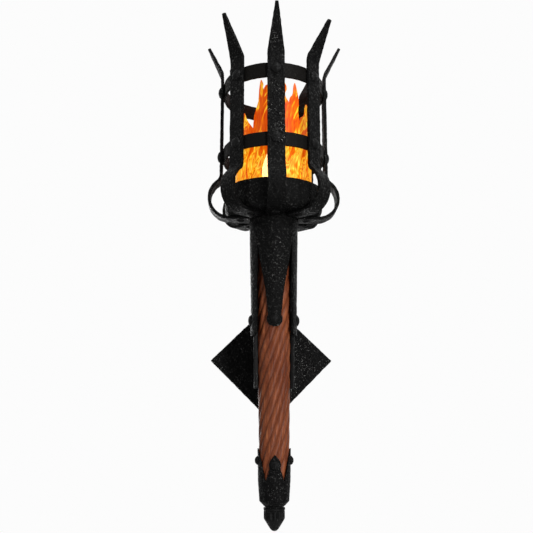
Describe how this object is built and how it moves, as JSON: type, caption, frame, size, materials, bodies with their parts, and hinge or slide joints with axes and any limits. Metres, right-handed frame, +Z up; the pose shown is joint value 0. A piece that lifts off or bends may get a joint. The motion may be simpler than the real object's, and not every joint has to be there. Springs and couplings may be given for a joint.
{
  "type": "torch sconce",
  "caption": "Wall torch sconce: a forged strap cage with a flame shade and a bulb over a bowl, on a spiral-carved wooden handle held by an arm and a diamond wall plate.",
  "frame": {"origin": "centre of the wall plate's back face, between its two box screw holes, where the arm's line meets the wall", "axes": "+Z up, +Y into the wall, -Y towards the room, +X to the right seen from the front; the torch leans 10 degrees out of the wall plane towards -Y at its top"},
  "size_m": [0.212, 0.2791, 0.7364],
  "materials": {
    "forged_iron": "hammered wrought iron, black waxed, satin",
    "rivet_iron": "hammered rivet heads, black, satin with worn tops",
    "flame_shade": "translucent sheet printed with orange and yellow flames",
    "bulb_glass": "clear candle bulb glass",
    "filament": "glowing filament rods on a glass stem",
    "brass": "plain brass, satin",
    "phenolic": "black moulded phenolic",
    "lead_insulation": "brown wire insulation",
    "carved_wood": "reddish-brown stained wood with carved spiral flutes, satin"
  },
  "bodies": {
    "torch": {"cage_strap_front": "forged_iron", "cage_strap_front_right": "forged_iron", "cage_strap_right": "forged_iron", "cage_strap_rear_right": "forged_iron", "cage_strap_rear": "forged_iron", "cage_strap_rear_left": "forged_iron", "cage_strap_left": "forged_iron", "cage_strap_front_left": "forged_iron", "top_ring": "forged_iron", "middle_ring": "forged_iron", "top_ring_rivets": "rivet_iron", "middle_ring_rivets": "rivet_iron", "bowl": "forged_iron", "strap_foot_rivets": "rivet_iron", "shade_seat_ring": "forged_iron", "lamp_holder_body": "phenolic", "lamp_holder_screw_shell": "brass", "lamp_holder_centre_contact": "brass", "clamp_nut": "brass", "clamp_washer": "brass", "centre_tube": "brass", "supply_leads": "lead_insulation", "socket_collar": "forged_iron", "collar_rivets": "rivet_iron", "handle": "carved_wood", "yoke": "forged_iron", "bracket_arm": "forged_iron", "arm_flange": "forged_iron", "wall_plate": "forged_iron", "ferrule": "forged_iron", "ferrule_rivets": "rivet_iron", "finial": "forged_iron"},
    "shade": {"flame_shade": "flame_shade"},
    "bulb": {"bulb_glass": "bulb_glass", "bulb_filament": "filament", "bulb_screw_base": "brass", "bulb_tip_contact": "brass"}
  },
  "joints": [
    {"name": "shade_lift", "type": "slide", "parent": "torch", "child": "shade", "axis": [0, -0.1736, 0.9848], "range_m": [0, 0.22]},
    {"name": "bulb_unscrew", "type": "hinge", "parent": "torch", "child": "bulb", "pos_m": [0, -0.12914, 0.2333], "axis": [0, -0.1736, 0.9848], "range_deg": [0, 1440]}
  ]
}
